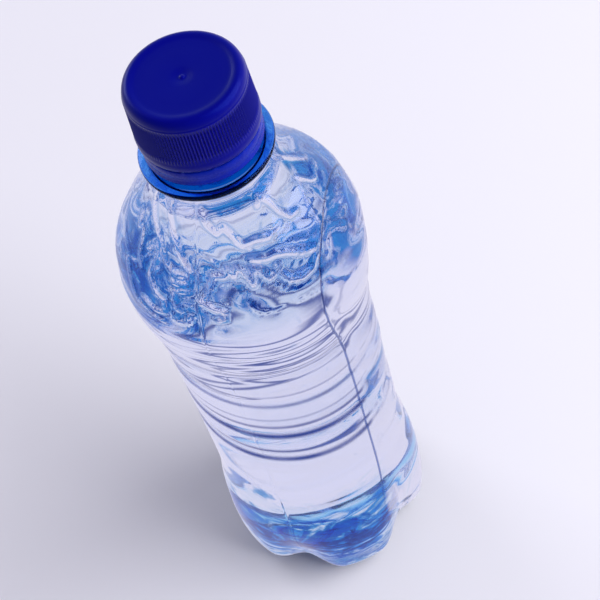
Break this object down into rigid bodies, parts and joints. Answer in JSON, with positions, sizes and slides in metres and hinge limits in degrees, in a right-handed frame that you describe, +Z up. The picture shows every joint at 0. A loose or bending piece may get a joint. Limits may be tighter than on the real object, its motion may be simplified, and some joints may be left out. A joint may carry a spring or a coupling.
{
  "type": "crushed plastic water bottle",
  "caption": "Half-litre screw-cap drinks bottle of thin blue-tinted plastic, wrinkled and creased, still holding its water, standing on a footed base",
  "frame": {"origin": "centre of the base, on the surface that the five feet stand on", "axes": "+Z up along the bottle's axis, +X towards the front foot"},
  "size_m": [0.0648, 0.0645, 0.2148],
  "materials": {
    "blown_pet": "clear, blue-tinted, blown and glossy",
    "water": "clear liquid",
    "cap_plastic": "moulded, semi-gloss cobalt blue",
    "liner_plastic": "soft moulded disc"
  },
  "bodies": {
    "bottle_body": {"bottle": "blown_pet", "water": "water", "tamper_band": "cap_plastic"},
    "liner_body": {"cap_liner": "liner_plastic"},
    "cap_body": {"cap": "cap_plastic"}
  },
  "joints": [
    {"name": "cap_lift", "type": "slide", "parent": "bottle_body", "child": "liner_body", "axis": [0, 0, 1], "range_m": [0, 0.00478]},
    {"name": "cap_turn", "type": "hinge", "parent": "liner_body", "child": "cap_body", "pos_m": [0, 0, 0.205], "axis": [0, 0, 1], "range_deg": [0, 540]}
  ],
  "couplings": [
    {"joint": "cap_lift", "follows": "cap_turn", "m_per_rad": 0.00050611}
  ]
}
